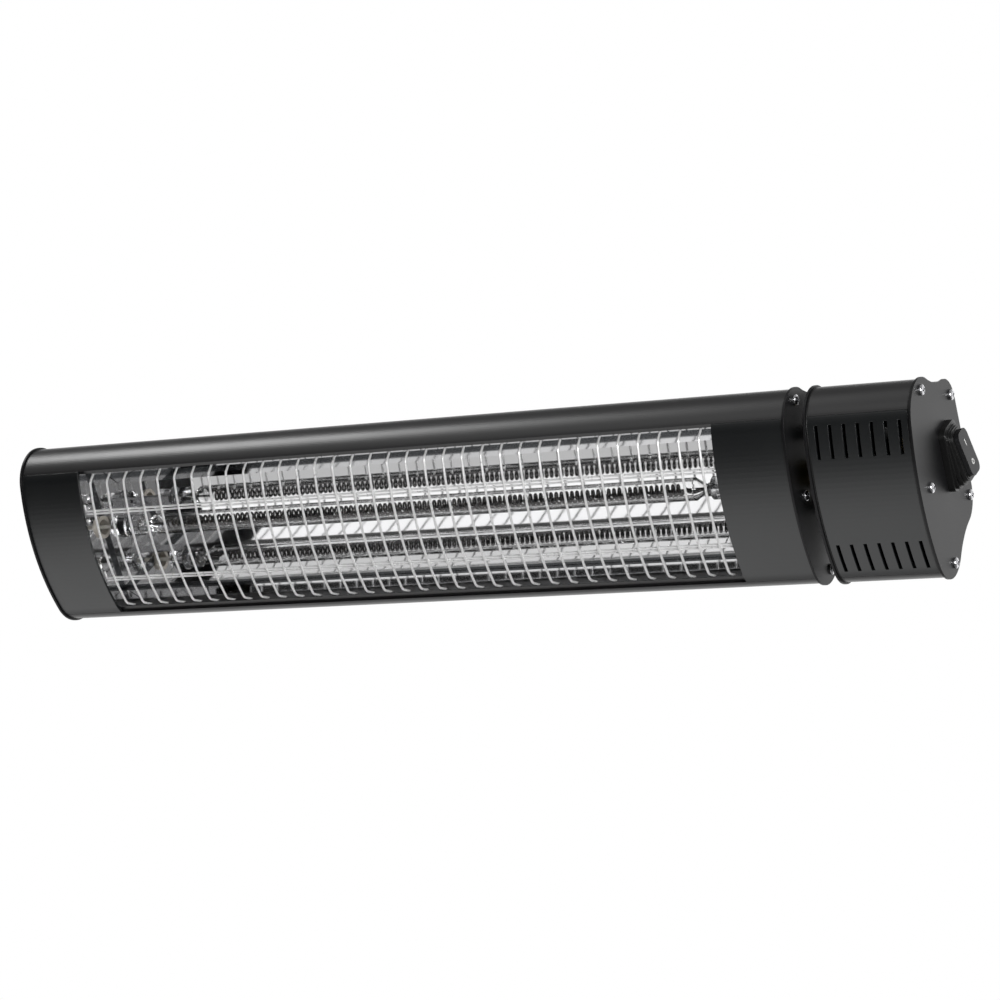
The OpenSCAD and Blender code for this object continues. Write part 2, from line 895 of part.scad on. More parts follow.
// Least free gap between neighbouring turns, measured on the path points
coil_gap = min([
    for (i = [0:coil_rings], j = [coil_rings - 2:coil_rings + 2])
        norm(coil_point(i + j) - coil_point(i))
]) - coil_wire_d;
echo(least_coil_gap = coil_gap);

// Ceramic cap on a pinched end of the tube, right-hand end
module lamp_cap() {
    color([0.86, 0.82, 0.74])
        difference() {
            rod_x(cap_start, cap_end, lamp_y, 0, cap_r);
            translate([cap_start - overrun, lamp_y, 0])
                box_yz(blade_end + part_gap - cap_start + overrun,
                    blade_w + 2 * part_gap, blade_t + 2 * part_gap);
            rod_x(cap_end - lead_bore, cap_end + overrun, lamp_y, 0, lead_r + fit_gap);
        }
}

module lamp_cap_left() { mirror([1, 0, 0]) lamp_cap(); }

module lamp_cap_right() { lamp_cap(); }

// Collar that carries a cap, with an arm behind it and a foot on the mirror wall
module lamp_clip() {
    color([0.7, 0.7, 0.68])
        difference() {
            union() {
                rod_x(clip_start, clip_start + clip_len, lamp_y, 0, clip_bore_r + clip_wall);
                translate([clip_start, clip_arm_y, -clip_w / 2])
                    cube([mirror_end_x - clip_start, clip_wall, clip_w]);
                translate([mirror_end_x - clip_wall, clip_arm_y, -clip_w / 2])
                    cube([clip_wall, clip_foot_len, clip_w]);
            }
            rod_x(clip_start - overrun, clip_start + clip_len + overrun, lamp_y, 0, clip_bore_r);
            rod_x(mirror_end_x - clip_wall - overrun, mirror_end_x + overrun, clip_rivet_y, 0,
                rivet_r + fit_gap);
        }
}

module lamp_clip_left() { mirror([1, 0, 0]) lamp_clip(); }

module lamp_clip_right() { lamp_clip(); }

module clip_rivets() {
    x0 = mirror_end_x - clip_wall;
    x1 = mirror_end_x + sheet_t;
    color([0.7, 0.7, 0.72])
        both_x() {
            rod_x(x0 - rivet_head_h, x0, clip_rivet_y, 0, rivet_head_r);
            rod_x(x0 - rivet_head_h, x1 + rivet_head_h, clip_rivet_y, 0, rivet_r);
            rod_x(x1, x1 + rivet_head_h, clip_rivet_y, 0, rivet_tail_r);
        }
}

// Ceramic bush in the mirror wall for a lamp lead, right-hand end
module lead_bush() {
    color([0.86, 0.82, 0.74])
        difference() {
            union() {
                rod_x(mirror_end_x - bush_flange_t, mirror_end_x, lamp_y, 0, bush_flange_r);
                rod_x(mirror_end_x - bush_flange_t, mirror_end_x + bush_len, lamp_y, 0, bush_r);
            }
            rod_x(mirror_end_x - bush_flange_t - overrun, mirror_end_x + bush_len + overrun, lamp_y, 0,
                bush_bore_r);
        }
}

module lead_bush_left() { mirror([1, 0, 0]) lead_bush(); }

module lead_bush_right() { lead_bush(); }

// Run of the curve at bend i of a route, shorter where the stretches beside it are short
function bend_run(places, i) = min(
    lead_bend,
    bend_share * norm(places[i] - places[i - 1]),
    bend_share * norm(places[i + 1] - places[i])
);
function bend_point(places, i, t) = let (
        run = bend_run(places, i),
        from = places[i] - run * unit(places[i] - places[i - 1]),
        to = places[i] + run * unit(places[i + 1] - places[i])
    ) (1 - t) * (1 - t) * from + 2 * t * (1 - t) * places[i] + t * t * to;

// Insulated wire along a list of places, with a curve at each bend
module wire_run(places) {
    last = len(places) - 1;
    route = concat(
        [places[0]],
        [for (i = [1:last - 1], k = [0:bend_steps]) bend_point(places, i, k / bend_steps)],
        [places[last]]
    );
    tube(route, lead_r, lead_sides, [for (p = route) [1, 1, 1]]);
}

lead_start = cap_end - lead_bore + fit_gap;
lead_x = reflector_half + 2 * lead_entry;
lead_wall_y = -wall_t - fit_gap - lead_r;
lead_in_box_x = box_start + plate_t + conduit_reach + 2 * lead_step;
block_mid_y = block_y - block_d / 2;
block_top = block_z + block_h / 2 + fit_gap;
block_bottom = block_z - block_h / 2 - fit_gap;

module lamp_lead_left() {
    color([0.9, 0.88, 0.84])
        wire_run([
            [-lead_start, lamp_y, 0],
            [-lead_x, lamp_y, 0],
            [-lead_x, lead_wall_y, lead_wall_z],
            [lead_x, lead_wall_y, lead_wall_z],
            [lead_x, conduit_y, -lead_pair_z],
            [lead_in_box_x, conduit_y, -lead_pair_z],
            [pole_x(0), block_mid_y, block_top + lead_entry],
            [pole_x(0), block_mid_y, block_top]
        ]);
}

module lamp_lead_right() {
    color([0.9, 0.88, 0.84])
        wire_run([
            [lead_start, lamp_y, 0],
            [lead_x, lamp_y, 0],
            [lead_x, conduit_y, lead_pair_z],
            [lead_in_box_x, conduit_y, lead_pair_z],
            [pole_x(1), block_mid_y, block_top + lead_entry],
            [pole_x(1), block_mid_y, block_top]
        ]);
}

// Points of an arc in the [y, z] plane, from angle a0 to a1 in n steps
function bend(c, r, a0, a1, n) = [
    for (i = [0:n]) [0, c[0] + r * cos(a0 + (a1 - a0) * i / n), c[1] + r * sin(a0 + (a1 - a0) * i / n)]
];

// Centre line of an upright guard wire: straight end, knee, long arc, knee, straight end
tail_end = tail_start + tail_len * tail_dir;
lower_knee = [knee_c[0], -knee_c[1]];
half_turn = 180;
long_arc = bend([front_cy, 0], guard_r, knee_slope - half_turn, -knee_slope - half_turn, wire_steps);
wire_path = concat(
    [[0, tail_end[0], -tail_end[1]]],
    bend(lower_knee, knee_r, -90 - tail_angle, knee_slope - half_turn, knee_steps),
    [for (i = [1:wire_steps - 1]) long_arc[i]],
    bend(knee_c, knee_r, half_turn - knee_slope, 90 + tail_angle, knee_steps),
    [[0, tail_end[0], tail_end[1]]]
);

module guard_wire(x) {
    translate([x, 0, 0])
        tube(wire_path, wire_d / 2, wire_sides, [for (p = wire_path) [1, 0, 0]]);
}

module guard_wires() {
    color([0.8, 0.8, 0.82])
        for (i = [0:wire_count - 1]) guard_wire(wire_x(i));
}

// Straight cross wire, plain or with both ends turned up
module rail(z, hooked) {
    y = front_y(z, rail_r);
    rod_x(-rail_half, rail_half, y, z, rail_d / 2);
    if (hooked)
        both_x() {
            translate([rail_half, y, z]) sphere(r = rail_d / 2, $fn = 24);
            translate([rail_half, y, z]) cylinder(h = rail_hook_h, r = rail_d / 2, $fn = 24);
        }
}

module guard_rails() {
    color([0.8, 0.8, 0.82])
        for (s = [1, -1]) {
            rail(s * rail_pair_h / 2 + rail_spacing / 2, true);
            rail(s * rail_pair_h / 2 - rail_spacing / 2, false);
        }
}

module wire_conduit() {
    color([0.72, 0.6, 0.32])
        difference() {
            union() {
                rod_x(lamp_inner - conduit_reach, box_start + plate_t + conduit_reach,
                    conduit_y, 0, conduit_r);
                rod_x(lamp_half, box_start, conduit_y, 0, conduit_shoulder_r);
            }
            rod_x(lamp_inner - conduit_reach - overrun, box_start + plate_t + conduit_reach + overrun,
                conduit_y, 0, conduit_bore_r);
        }
}

module conduit_nuts() {
    color([0.72, 0.6, 0.32])
        difference() {
            union() {
                hex_x(lamp_inner - conduit_nut_t, lamp_inner, conduit_y, 0, conduit_nut_r);
                hex_x(box_start + plate_t, box_start + plate_t + conduit_nut_t,
                    conduit_y, 0, conduit_nut_r);
            }
            rod_x(lamp_inner - conduit_nut_t - overrun, box_start + plate_t + conduit_nut_t + overrun,
                conduit_y, 0, conduit_r + fit_gap);
        }
}

module standoff_sleeves() {
    color([0.75, 0.75, 0.77])
        both_z()
            difference() {
                rod_x(lamp_half, box_start, standoff_y, standoff_z, standoff_r);
                rod_x(lamp_half - overrun, box_start + overrun, standoff_y, standoff_z,
                    standoff_bolt_r + seat_gap);
            }
}

module standoff_bolts() {
    seat = box_start + plate_t;
    color([0.75, 0.75, 0.77])
        both_z() {
            rod_x(lamp_inner - standoff_nut_t - overrun, seat, standoff_y, standoff_z, standoff_bolt_r);
            difference() {
                rod_x(seat, seat + standoff_head_h, standoff_y, standoff_z, standoff_head_r);
                hex_x(seat + standoff_head_h * recess_share, seat + standoff_head_h + overrun,
                    standoff_y, standoff_z, standoff_head_r * hex_key_share);
            }
        }
}
hex_key_share = 0.5;

module standoff_nuts() {
    color([0.75, 0.75, 0.77])
        both_z()
            difference() {
                hex_x(lamp_inner - standoff_nut_t, lamp_inner, standoff_y, standoff_z, standoff_nut_r);
                rod_x(lamp_inner - standoff_nut_t - overrun, lamp_inner + overrun, standoff_y, standoff_z,
                    standoff_bolt_r + fit_gap);
            }
}

// Places of the poles of the terminal block, along X from its middle
function pole_x(i) = block_x + (i - (block_poles - 1) / 2) * pole_pitch;

module terminal_block() {
    color([0.9, 0.88, 0.84])
        difference() {
            translate([block_x - block_w / 2, block_y - block_d, block_z - block_h / 2])
                cube([block_w, block_d, block_h]);
            for (i = [0:block_poles - 1], s = [-1, 1])
                translate([pole_x(i), block_y - block_d + pole_screw_h, block_z + s * pole_row_z])
                    rotate([90, 0, 0])
                        cylinder(h = pole_screw_h + overrun, r = pole_screw_r + seat_gap);
            for (s = [-1, 1])
                translate([block_x + s * block_w * block_hole_share, overrun, block_z])
                    rotate([90, 0, 0])
                        cylinder(h = block_d - block_y + 2 * overrun, r = block_screw_r + fit_gap);
        }
}

module terminal_screws() {
    color([0.75, 0.7, 0.5])
        for (i = [0:block_poles - 1], s = [-1, 1])
            translate([pole_x(i), block_y - block_d + pole_screw_h, block_z + s * pole_row_z])
                rotate([90, 0, 0])
                    difference() {
                        cylinder(h = pole_screw_h * pole_fill_share, r = pole_screw_r);
                        translate([-pole_screw_r, -boss_slot_w / 2 * pole_fill_share, pole_screw_h / 2])
                            cube([2 * pole_screw_r, boss_slot_w * pole_fill_share, pole_screw_h]);
                    }
}
pole_fill_share = 0.8;

module block_screws() {
    color([0.75, 0.75, 0.77])
        for (s = [-1, 1])
            translate([block_x + s * block_w * block_hole_share, 0, block_z])
                rotate([90, 0, 0]) {
                    translate([0, 0, seat_gap])
                        cylinder(h = block_d - block_y - seat_gap, r = block_screw_r);
                    translate([0, 0, block_d - block_y])
                        cylinder(h = rivet_head_h, r = 2 * block_screw_r);
                }
}

module earth_screw() {
    color([0.75, 0.75, 0.77]) {
        rod_x(box_start - earth_head_h, box_start, earth_y, earth_z, earth_head_r);
        rod_x(box_start - fit_gap, box_start + earth_len, earth_y, earth_z, earth_r);
    }
}

module earth_nut() {
    x0 = box_start + plate_t;
    color([0.75, 0.75, 0.77])
        difference() {
            hex_x(x0, x0 + earth_nut_t, earth_y, earth_z, earth_nut_r);
            rod_x(x0 - overrun, x0 + earth_nut_t + overrun, earth_y, earth_z, earth_r + fit_gap);
        }
}

// Rounded rectangle in the plate plane, drawn as [y, z]
module round_rect(w, h, r) {
    square([w, h - 2 * r], center = true);
    square([w - 2 * r, h], center = true);
    for (a = [-1, 1], b = [-1, 1])
        translate([a * (w / 2 - r), b * (h / 2 - r)])
            circle(r = r, $fn = 48);
}

// Moves to the switch axis on the outer face of the end plate
module at_switch() {
    translate([box_end, switch_y, switch_z]) children();
}

// Moves to the rocker axis and tilts with the rocker by a share of its tilt
module at_pivot(share) {
    translate([pivot_x, switch_y, switch_z])
        rotate([0, -rocker_tilt * share, 0])
            children();
}

// Bore across the ears for the rocker pins
module pin_bore(r, half) {
    translate([0, half, 0])
        rotate([90, 0, 0])
            cylinder(h = 2 * half, r = r);
}

module switch_body() {
    ear_in = stem_w / 2 + part_gap;
    ear_out = ear_in + ear_t;
    cavity_w = body_w - 2 * body_wall;
    cavity_h = body_h - 2 * body_wall;
    color([0.1, 0.1, 0.1])
        difference() {
            union() {
                at_switch() {
                    along_x(0, flange_t) round_rect(flange_w, flange_h, body_wall);
                    translate([-plate_t - body_d, 0, 0])
                        box_yz(plate_t + body_d, body_w, body_h);
                }
                at_pivot(0)
                    for (s = [-1, 1])
                        translate([0, s * (ear_in + ear_t / 2), 0]) {
                            pin_bore(ear_r, ear_t / 2);
                            translate([-pivot_out - body_wall, -ear_t / 2, -ear_r])
                                cube([pivot_out + body_wall, ear_t, 2 * ear_r]);
                        }
            }
            at_switch()
                difference() {
                    translate([-plate_t - body_d + body_wall, 0, 0])
                        box_yz(body_d + plate_t + flange_t, cavity_w, cavity_h);
                    for (s = [-1, 1])
                        translate([-body_wall - plate_t, s * (ear_in + ear_t / 2) - ear_t / 2, -cavity_h / 2])
                            cube([body_wall + plate_t + flange_t, ear_t, cavity_h]);
                    for (s = [-1, 1])
                        translate([0, s * (ear_in + ear_t / 2) - ear_t / 2, -ear_r])
                            cube([pivot_out + ear_r, ear_t, 2 * ear_r]);
                }
            at_pivot(0) pin_bore(pin_r + pin_gap, ear_out + overrun);
            at_lever(0) pin_bore(lever_pin_r + pin_gap, body_w / 2 + overrun);
            at_switch()
                for (a = [-1, 1], b = [-1, 1])
                    translate([-plate_t - body_d - overrun, a * tag_row_y, b * tag_row_z])
                        box_yz(body_wall + 2 * overrun,
                            blade_tag_t + 2 * fit_gap, blade_tag_w + 2 * fit_gap);
        }
}

// Moves to the axis of the contact lever, which tilts against the rocker
module at_lever(share) {
    at_switch()
        translate([-lever_in, 0, 0])
            rotate([0, rocker_tilt * lever_share * share, 0])
                children();
}

module contact_lever() {
    color([0.78, 0.66, 0.36])
        at_lever(1) {
            translate([-lever_t / 2, 0, 0]) box_yz(lever_t, lever_w, lever_h);
            pin_bore(lever_pin_r, body_w / 2);
        }
}

module switch_terminals() {
    color([0.78, 0.66, 0.36])
        at_switch()
            for (a = [-1, 1], b = [-1, 1])
                translate([-plate_t - body_d - blade_out, a * tag_row_y, b * tag_row_z])
                    box_yz(blade_out + body_wall + overrun, blade_tag_t, blade_tag_w);
}

// One fold of the boot: a tilted ring that leans with the rocker
module boot_fold(k) {
    share = k / boot_folds;
    w = boot_w - k * fold_shrink_w;
    h = boot_h - k * fold_shrink_h;
    lift = boot_base_t - pivot_out + (cap_lift - boot_base_t + pivot_out - rocker_t) * share;
    at_pivot(share) {
        along_x(lift - fold_t * (1 + share_half), lift - fold_t * share_half)
            round_rect(w, h, boot_corner_r);
        along_x(lift - 2 * fold_t, lift)
            round_rect(w - 2 * fold_neck, h - 2 * fold_neck, boot_corner_r - fold_neck);
    }
}
share_half = 0.3;

module switch_boot() {
    color([0.06, 0.06, 0.06])
        difference() {
            union() {
                at_switch()
                    along_x(0, boot_base_t) round_rect(boot_w, boot_h, boot_corner_r);
                for (k = [1:boot_folds]) boot_fold(k);
            }
            at_switch()
                along_x(-overrun, flange_t + seat_gap)
                    round_rect(flange_w + 2 * seat_gap, flange_h + 2 * seat_gap, body_wall);
            at_switch()
                along_x(-overrun, boot_base_t)
                    round_rect(boot_cavity_w(), boot_cavity_h(), body_wall);
            at_pivot(share_half)
                along_x(-pivot_out, cap_lift)
                    round_rect(boot_cavity_w() - boot_wall, boot_cavity_h() - boot_wall, body_wall);
            at_pivot(1)
                along_x(cap_lift - rocker_t - part_gap, cap_lift + cap_out)
                    round_rect(boot_w, boot_h, body_wall);
        }
}

function boot_cavity_w() = rocker_w - boot_wall / 2;
function boot_cavity_h() = rocker_h - boot_wall;

module rocker() {
    color([0.13, 0.13, 0.13])
        difference() {
            at_pivot(1) {
                along_x(cap_lift - rocker_t, cap_lift)
                    round_rect(rocker_w, rocker_h, rocker_corner_r);
                along_x(-pin_r, cap_lift - rocker_t + fit_gap)
                    square([stem_w, stem_h], center = true);
                pin_bore(pin_r, stem_w / 2 + part_gap + ear_t);
                pin_bore(stem_h / 2 * foot_share, stem_w / 2);
                rod_x(-plunger_len, 0, 0, 0, plunger_r);
                translate([-plunger_len, 0, 0]) sphere(r = plunger_r);
            }
            at_pivot(1) marks(fit_gap, 0);
        }
}
foot_share = 0.6;

// Bar and ring of the rocker face, grown by g
module marks(g, proud) {
    along_x(cap_lift - mark_t - g, cap_lift + proud + (proud > 0 ? 0 : overrun)) {
        translate([0, mark_z]) square([bar_w + 2 * g, bar_h + 2 * g], center = true);
        translate([0, -mark_z])
            difference() {
                circle(r = ring_r + g);
                circle(r = ring_r - bar_w - g);
            }
    }
}

module rocker_marks() {
    color([0.92, 0.92, 0.92]) at_pivot(1) marks(0, mark_proud);
}

module switch_leads() {
    tag_x = box_end - plate_t - body_d - blade_out - fit_gap;
    tag_z = switch_z - tag_row_z;
    color([0.15, 0.2, 0.5])
        for (s = [-1, 1])
            wire_run([
                [tag_x, switch_y + s * tag_row_y, tag_z],
                [tag_x - lead_entry, switch_y + s * tag_row_y, tag_z],
                [tag_x - lead_entry, switch_y + s * tag_row_y, lead_sink_z],
                [pole_x(1.5 + s / 2), block_mid_y - block_d, block_bottom - lead_entry],
                [pole_x(1.5 + s / 2), block_mid_y, block_bottom - lead_entry],
                [pole_x(1.5 + s / 2), block_mid_y, block_bottom]
            ]);
}

// Round or six-sided bar along Y from the back wall, at the gland
module gland_bar(y0, y1, r, sides) {
    translate([gland_x, y1, gland_z])
        rotate([90, 0, 0])
            cylinder(h = y1 - y0, r = r, $fn = sides);
}

module gland_body() {
    color([0.08, 0.08, 0.08])
        difference() {
            union() {
                gland_bar(-wall_t - gland_thread_len, 0, gland_thread_r, 64);
                gland_bar(0, gland_hex_t, gland_hex_r, 6);
                gland_bar(0, gland_hex_t + gland_thread_len, gland_thread_r, 64);
            }
            gland_bar(-wall_t - gland_thread_len - overrun, gland_hex_t + gland_thread_len + overrun,
                gland_bore / 2 + seat_gap, 64);
            gland_bar(gland_hex_t, gland_hex_t + gland_thread_len + overrun,
                gland_bore / 2 + gland_seal_wall + fit_gap, 64);
        }
}

module gland_nut() {
    color([0.08, 0.08, 0.08])
        difference() {
            gland_bar(-wall_t - gland_hex_t, -wall_t, gland_hex_r, 6);
            gland_bar(-wall_t - gland_hex_t - overrun, -wall_t + overrun, gland_thread_r + fit_gap, 64);
        }
}

module gland_seal() {
    color([0.2, 0.2, 0.2])
        difference() {
            gland_bar(gland_hex_t + fit_gap, gland_hex_t + gland_thread_len,
                gland_bore / 2 + gland_seal_wall, 64);
            gland_bar(0, gland_cap_len + gland_hex_t, gland_bore / 2 + fit_gap, 64);
        }
}

module gland_cap() {
    y0 = gland_hex_t + fit_gap;
    y1 = gland_hex_t + gland_cap_len;
    color([0.08, 0.08, 0.08])
        difference() {
            union() {
                gland_bar(y0, y1 - gland_nose_len, gland_cap_r, 64);
                translate([gland_x, y1 - gland_nose_len, gland_z])
                    rotate([-90, 0, 0])
                        cylinder(h = gland_nose_len, r1 = gland_cap_r, r2 = gland_cap_r * nose_share);
            }
            gland_bar(y0 - overrun, gland_hex_t + gland_thread_len + fit_gap, gland_thread_r + fit_gap, 64);
            gland_bar(y0, y1 + overrun, gland_bore / 2, 64);
        }
}
nose_share = 0.7;

module mounting_inserts() {
    color([0.78, 0.76, 0.7])
        for (x = [-insert_spacing / 2, insert_spacing / 2])
            translate([x, 0, 0])
                rotate([90, 0, 0])
                    difference() {
                        union() {
                            translate([0, 0, -insert_flange_t])
                                cylinder(h = insert_flange_t, r = insert_flange_r);
                            translate([0, 0, -insert_flange_t])
                                cylinder(h = insert_len + insert_flange_t, r = insert_r);
                            translate([0, 0, wall_t])
                                cylinder(h = insert_crimp_len, r = insert_crimp_r);
                        }
                        translate([0, 0, -insert_flange_t - overrun])
                            cylinder(h = insert_len + insert_flange_t + 2 * overrun, r = insert_bore / 2);
                    }
}

lamp_housing();
electrics_housing();
front_panel_left();
front_panel_right();
vent_panel();
end_plate_left();
lamp_plate_right();
box_plate_inner();
box_plate_outer();
gasket_inner();
gasket_outer();
screws_end_left();
screws_lamp_right();
screws_box_inner();
screws_box_outer();
reflector();
reflector_end_left();
reflector_end_right();
reflector_rivets();
quartz_tube();
heating_coil();
lamp_cap_left();
lamp_cap_right();
lamp_clip_left();
lamp_clip_right();
clip_rivets();
lead_bush_left();
lead_bush_right();
lamp_lead_left();
lamp_lead_right();
guard_wires();
guard_rails();
wire_conduit();
conduit_nuts();
standoff_sleeves();
standoff_bolts();
standoff_nuts();
terminal_block();
terminal_screws();
block_screws();
switch_leads();
earth_screw();
earth_nut();
switch_body();
switch_terminals();
contact_lever();
switch_boot();
rocker();
rocker_marks();
gland_body();
gland_nut();
gland_cap();
gland_seal();
mounting_inserts();
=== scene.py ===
# %% [markdown]
# # An electric bar heater
# The heater is two black aluminium casings on one line. The long one holds a mirror trough
# with a quartz lamp behind a wire guard, and the short one holds the wiring and the switch.
# Every solid piece comes from the imported model, which is the fixed frame of this scene. This
# script gives those pieces their finishes and makes the two shapes that a solid can't carry:
# the full winding of the heating wire, and a finer copy of the rubber boot.

import json
import math

import bmesh
import bpy
from mathutils import Matrix, Vector


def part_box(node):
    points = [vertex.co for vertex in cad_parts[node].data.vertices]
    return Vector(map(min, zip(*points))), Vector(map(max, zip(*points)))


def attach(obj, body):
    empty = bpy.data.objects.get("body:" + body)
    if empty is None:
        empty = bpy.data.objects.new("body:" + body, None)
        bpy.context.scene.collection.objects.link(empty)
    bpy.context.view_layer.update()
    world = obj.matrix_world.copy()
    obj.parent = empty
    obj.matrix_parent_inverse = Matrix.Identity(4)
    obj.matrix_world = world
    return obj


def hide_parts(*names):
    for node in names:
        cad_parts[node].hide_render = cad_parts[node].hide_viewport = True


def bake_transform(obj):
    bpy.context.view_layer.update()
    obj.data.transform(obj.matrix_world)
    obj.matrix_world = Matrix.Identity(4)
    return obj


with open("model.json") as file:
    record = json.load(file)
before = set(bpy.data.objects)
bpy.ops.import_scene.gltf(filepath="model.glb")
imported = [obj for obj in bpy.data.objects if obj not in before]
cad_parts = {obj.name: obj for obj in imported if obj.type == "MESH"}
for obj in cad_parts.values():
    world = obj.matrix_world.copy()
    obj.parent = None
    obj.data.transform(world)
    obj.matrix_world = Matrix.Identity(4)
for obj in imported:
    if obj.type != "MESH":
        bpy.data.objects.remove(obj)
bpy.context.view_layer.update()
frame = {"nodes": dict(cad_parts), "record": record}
MM = 0.001
print("nodes in the frame:", len(frame["nodes"]))

# %% [markdown]
# ## The camera
# The heater is seen from its switch end, a little from above. A long lens keeps the far end
# almost as tall as the near one. The three turns are the swing round the heater, the look
# down on it, and the tilt of the camera about its own line of sight.

# %% Place the camera
SWING = math.radians(29.10)
LOOK_DOWN = math.radians(19.81)
TILT = math.radians(-14.38)
CAMERA_PLACE = Vector((0.93215, -1.60865, 0.6435))
LENS_MM = 103.85
SENSOR_MM = 36
LEVEL = math.radians(90)

camera = bpy.data.objects.new("camera", bpy.data.cameras.new("camera"))
camera.data.lens = LENS_MM
camera.data.sensor_width = SENSOR_MM
camera.matrix_world = (
    Matrix.Translation(CAMERA_PLACE)
    @ Matrix.Rotation(SWING, 4, "Z")
    @ Matrix.Rotation(LEVEL - LOOK_DOWN, 4, "X")
    @ Matrix.Rotation(TILT, 4, "Z")
)
bpy.context.collection.objects.link(camera)
bpy.context.scene.camera = camera
bpy.context.scene.view_settings.view_transform = "Standard"
print("camera is", round(CAMERA_PLACE.length, 3), "m from the middle of the wall inserts")

# %% [markdown]
# ## A small language for shaders
# A finish is a sum of noises, gradients and masks. Wrapping a socket in a class lets that sum
# be written as plain arithmetic, so `1 - mask` adds its own Math node. Every other node comes
# from one method, which sets the node's choices first and then its sockets.

# %% Define the shader sums


class Wire:
    """A socket of a node tree that can be added, multiplied and so on."""

    def __init__(self, tree, socket=None):
        self.tree = tree
        self.socket = socket

    def node(self, kind, settings=None, **sockets):
        """Adds a node with these choices, then these socket values or links."""
        made = self.tree.nodes.new("ShaderNode" + kind)
        for key, value in (settings or {}).items():
            setattr(made, key, value)
        for key, value in sockets.items():
            self.feed(find_socket(made.inputs, key), value)
        shown = [s for s in made.outputs if s.enabled]
        return Wire(self.tree, shown[0] if shown else None)

    def feed(self, target, value):
        """Links a wire to this socket, or sets the socket to a constant."""
        if isinstance(value, Wire):
            self.tree.links.new(value.socket, target)
        else:
            target.default_value = value

    def get(self, output):
        """Another output of the node that this one comes from."""
        return Wire(self.tree, find_socket(self.socket.node.outputs, output))

    def math(self, operation, first, second):
        """The sum, difference or product of two wires or numbers."""
        made = self.node("Math", {"operation": operation})
        for target, value in zip(made.socket.node.inputs, (first, second)):
            self.feed(target, value)
        return made

    def __add__(self, other):
        return self.math("ADD", self, other)

    def __radd__(self, other):
        return self.math("ADD", other, self)

    def __rsub__(self, other):
        return self.math("SUBTRACT", other, self)

    def __mul__(self, other):
        return self.math("MULTIPLY", self, other)

    def __rmul__(self, other):
        return self.math("MULTIPLY", other, self)


def find_socket(sockets, key):
    """The enabled socket with this name, where an underscore stands for a space."""
    for socket in sockets:
        if socket.enabled and key in (socket.identifier, socket.name.replace(" ", "_")):
            return socket
    raise KeyError(key)


# %% [markdown]
# Every finish starts as an empty material and ends with one surface. Between the two come
# noises, masks and normals, which a few short functions make.

# %% Define how a finish is started and closed


def new_finish(name):
    """An empty material and the wire that its nodes are added with."""
    material = bpy.data.materials.new(name)
    material.use_nodes = True
    material.node_tree.nodes.clear()
    return material, Wire(material.node_tree)


def close_finish(material, wire, **sockets):
    """Ends a finish with one Principled surface that has these socket values."""
    surface = wire.node("BsdfPrincipled", None, **sockets)
    wire.node("OutputMaterial", None, Surface=surface)
    return material


def scaled(colour, share):
    """The colour made lighter or darker by this share."""
    return [share * channel for channel in colour]


def place(wire, stretch=(1, 1, 1)):
    """Position on the heater in metres, stretched along its axes."""
    spot = wire.node("TexCoord").get("Object")
    return wire.node("VectorMath", {"operation": "MULTIPLY"}, Vector=spot, Vector_001=stretch)


def noise(wire, scale, stretch=(1, 1, 1), detail=2):
    """Soft noise from 0 to 1 with this many blobs in a metre."""
    return wire.node("TexNoise", None, Vector=place(wire, stretch), Scale=scale, Detail=detail)


def tint(wire, mask, low, high):
    """Colour that goes from low to high with the mask."""
    colours = {"A_Color": (*low, 1), "B_Color": (*high, 1)}
    return wire.node("Mix", {"data_type": "RGBA"}, Factor_Float=mask, **colours)


def bump(wire, height, strength, distance, **more):
    """Normal of a surface that this height pushes out."""
    return wire.node("Bump", None, Height=height, Strength=strength, Distance=distance, **more)


def rounded(wire, radius):
    """Normal that rounds the sharp edges of a piece by this radius."""
    return wire.node("Bevel", None, Radius=radius)


def ramp(wire, value, start, end):
    """Smooth step from 0 at start to 1 at end."""
    ends = {"From_Min": start, "From_Max": end, "To_Min": 0, "To_Max": 1}
    return wire.node("MapRange", {"interpolation_type": "SMOOTHSTEP"}, Value=value, **ends)


# %% [markdown]
# ## Coated metal
# The casings, panels and plates are aluminium with a satin black coating. Under a soft light a
# coating shows a fine orange peel, and its gloss varies a little from place to place. A slow
# noise shifts the tone and the roughness, and a fine one gives the peel.

# %% Mix the coatings
COAT_GLOSS = 1.0
PLATE_GLOSS = 0.3
EDGE_ROUND = 0.3 * MM
CLOUD_SCALE = 14
CLOUD_TONE = 0.14
CLOUD_ROUGHNESS = 0.08
PEEL_SCALE = 900
PEEL_STRENGTH = 0.12
PEEL_DEPTH = 0.1 * MM


def coating(name, colour, roughness, gloss=COAT_GLOSS):
    """Satin black coating on metal, with clouds of tone and a fine orange peel."""
    material, wire = new_finish(name)
    slow = noise(wire, CLOUD_SCALE, detail=3)
    fine = noise(wire, PEEL_SCALE)
    edges = rounded(wire, EDGE_ROUND)
    return close_finish(
        material,
        wire,
        Base_Color=tint(wire, slow, scaled(colour, 1 - CLOUD_TONE), scaled(colour, 1 + CLOUD_TONE)),
        Roughness=roughness - CLOUD_ROUGHNESS / 2 + CLOUD_ROUGHNESS * slow,
        Specular_IOR_Level=gloss,
        Normal=bump(wire, fine, PEEL_STRENGTH, PEEL_DEPTH, Normal=edges),
    )


finishes = {
    "black_extrusion": coating("black_extrusion", (0.0060, 0.0058, 0.0062), 0.34),
    "black_panel": coating("black_panel", (0.0050, 0.0062, 0.0068), 0.36),
    "grey_plate": coating("grey_plate", (0.0085, 0.0085, 0.0092), 0.38, PLATE_GLOSS),
}
print("coatings:", len(finishes))

# %% [markdown]
# ## Bright metal
# Rivets, screws, clips and the guard are plated or bare metal with a fine even grain. The
# guard wire is less of a mirror than the rest, so that it stays light in front of dark parts.

